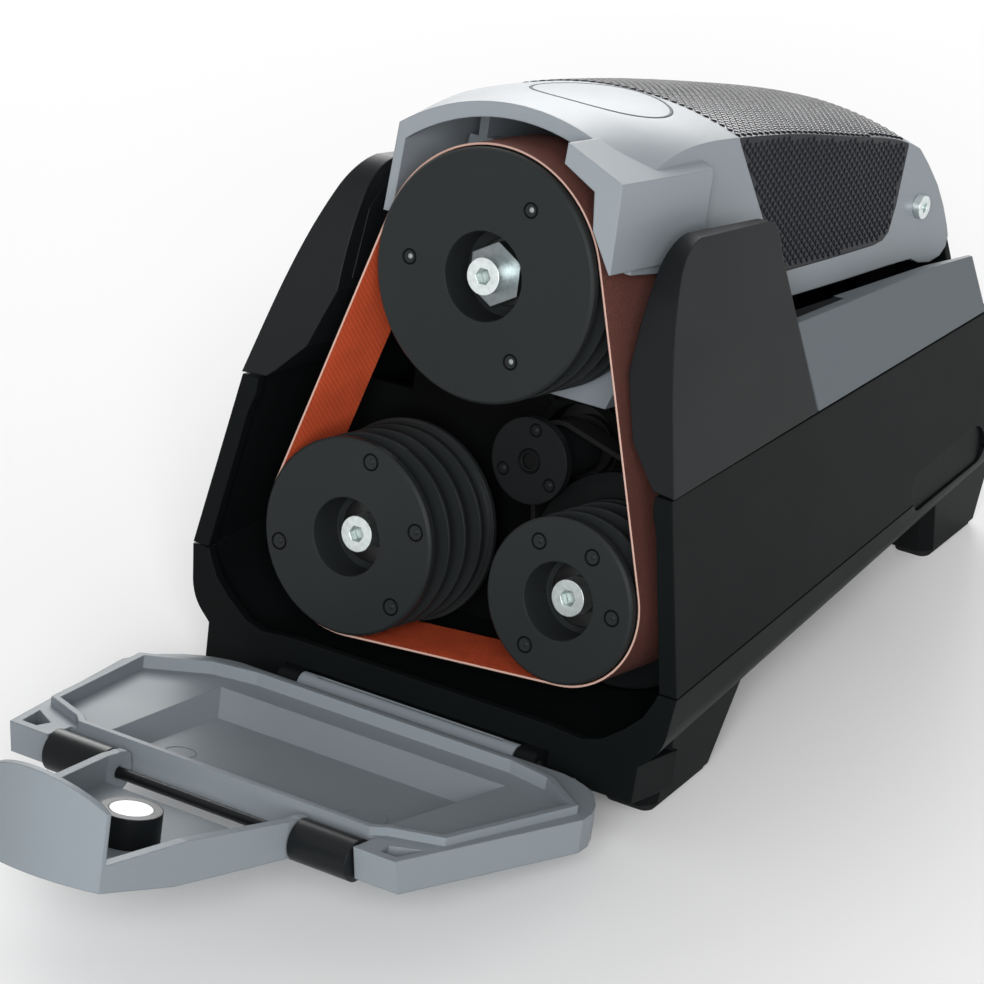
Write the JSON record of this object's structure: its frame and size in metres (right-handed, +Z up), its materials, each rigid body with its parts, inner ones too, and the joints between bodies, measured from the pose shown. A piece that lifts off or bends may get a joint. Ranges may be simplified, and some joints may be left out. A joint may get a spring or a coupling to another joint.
{
  "type": "electric knife sharpener",
  "caption": "Bench belt sharpener with an open front cover, rollers and sanding belt in view, guide wings, a sprung top arm with a grip, and a hinged latch flap.",
  "frame": {"origin": "centre of the overall box, on the table under the foot pads, with the front cover open", "axes": "+Z up, -Y towards the open cover and the user, +X to the right seen from the front"},
  "size_m": [0.1138, 0.2792, 0.1258],
  "materials": {
    "black_abs": "moulded, finely textured",
    "grey_abs": "moulded, satin",
    "bracket_grey": "moulded, satin",
    "grip_rubber": "raised diamond grip texture",
    "pad_rubber": "soft",
    "belt_cloth": "grit on woven cloth",
    "belt_rubber": "ribbed",
    "zinc_steel": "zinc plated",
    "bright_steel": "ground",
    "brass": "plated",
    "motor_steel": "dull",
    "board_green": "solder resist",
    "magnet_nickel": "nickel plated, dull",
    "well_abs": "moulded"
  },
  "bodies": {
    "housing": {"base_tray": "black_abs", "base_screws": "zinc_steel", "front_foot_pad_left": "pad_rubber", "front_foot_pad_right": "pad_rubber", "rear_foot_pad_left": "pad_rubber", "rear_foot_pad_right": "pad_rubber", "side_panel_left": "black_abs", "side_panel_right": "black_abs", "guide_wing_left": "black_abs", "guide_wing_right": "black_abs", "slot_liner_left": "bracket_grey", "slot_liner_right": "bracket_grey", "side_badge_left": "black_abs", "side_badge_right": "black_abs", "shoulder_panel_left": "grey_abs", "shoulder_panel_right": "grey_abs", "arm_well": "well_abs", "bulkhead": "black_abs", "rear_cover": "black_abs", "power_inlet": "black_abs", "inlet_pins": "brass", "control_board": "board_green", "motor": "motor_steel", "left_axle_bolt": "zinc_steel", "drive_axle_bolt": "zinc_steel", "sanding_belt": "belt_cloth", "drive_belt": "belt_rubber", "cover_hinge_pin": "bright_steel", "tension_spring": "bright_steel"},
    "arm": {"arm_shell": "grey_abs", "grip_insert": "grip_rubber", "arm_bracket": "bracket_grey", "arm_pivot_pin": "bright_steel", "arm_pivot_screws": "zinc_steel", "top_axle_bolt": "zinc_steel", "tracking_block": "zinc_steel"},
    "upper_roller": {"top_roller": "black_abs", "top_roller_bearings": "bright_steel"},
    "idler_roller": {"left_roller": "black_abs", "left_roller_bearings": "bright_steel"},
    "driven_roller": {"drive_roller": "black_abs", "drive_roller_bearings": "bright_steel", "drive_wheel": "black_abs"},
    "motor_spindle": {"motor_pulley": "black_abs", "motor_shaft": "bright_steel"},
    "front_cover": {"cover_panel": "grey_abs", "flap_sleeves": "black_abs", "flap_rod": "bright_steel"},
    "latch": {"latch_flap": "grey_abs", "magnet_holder": "black_abs", "magnet": "magnet_nickel"},
    "power_switch": {"power_button": "black_abs"},
    "speed_switch": {"speed_button": "black_abs"}
  },
  "joints": [
    {"name": "cover_hinge", "type": "hinge", "parent": "housing", "child": "front_cover", "pos_m": [0, -0.02602, 0.01132], "axis": [-1, 0, 0], "range_deg": [0, 90]},
    {"name": "latch_hinge", "type": "hinge", "parent": "front_cover", "child": "latch", "pos_m": [0, -0.09019, 0.02464], "axis": [1, 0, 0], "range_deg": [0, 35]},
    {"name": "arm_pivot", "type": "hinge", "parent": "housing", "child": "arm", "pos_m": [0, 0.12243, 0.07385], "axis": [1, 0, 0], "range_deg": [0, 0.4], "stiffness_Nm_per_rad": 20, "springref_deg": -2.86, "deforming": ["tension_spring"]},
    {"name": "upper_roller_spin", "type": "hinge", "parent": "arm", "child": "upper_roller", "pos_m": [0.001, -0.00173, 0.09649], "axis": [0, 0.9718, -0.236], "continuous": true},
    {"name": "idler_roller_spin", "type": "hinge", "parent": "housing", "child": "idler_roller", "pos_m": [-0.0222, -0.01542, 0.04013], "axis": [0, 0.9718, -0.236], "continuous": true},
    {"name": "driven_roller_spin", "type": "hinge", "parent": "housing", "child": "driven_roller", "pos_m": [0.0273, -0.01528, 0.04072], "axis": [0, 0.9718, -0.236], "continuous": true},
    {"name": "motor_spin", "type": "hinge", "parent": "housing", "child": "motor_spindle", "pos_m": [0.0085, -0.01037, 0.06093], "axis": [0, 0.9718, -0.236], "continuous": true},
    {"name": "power_press", "type": "slide", "parent": "housing", "child": "power_switch", "axis": [0.9659, -0.1038, -0.2372], "range_m": [0, 0.0007], "stiffness_N_per_m": 400},
    {"name": "speed_press", "type": "slide", "parent": "housing", "child": "speed_switch", "axis": [0.9659, -0.1038, -0.2372], "range_m": [0, 0.0007], "stiffness_N_per_m": 400}
  ],
  "couplings": [
    {"joint": "upper_roller_spin", "follows": "driven_roller_spin", "ratio": 0.6653},
    {"joint": "idler_roller_spin", "follows": "driven_roller_spin", "ratio": 0.8232},
    {"joint": "motor_spin", "follows": "driven_roller_spin", "ratio": 3.9231}
  ]
}
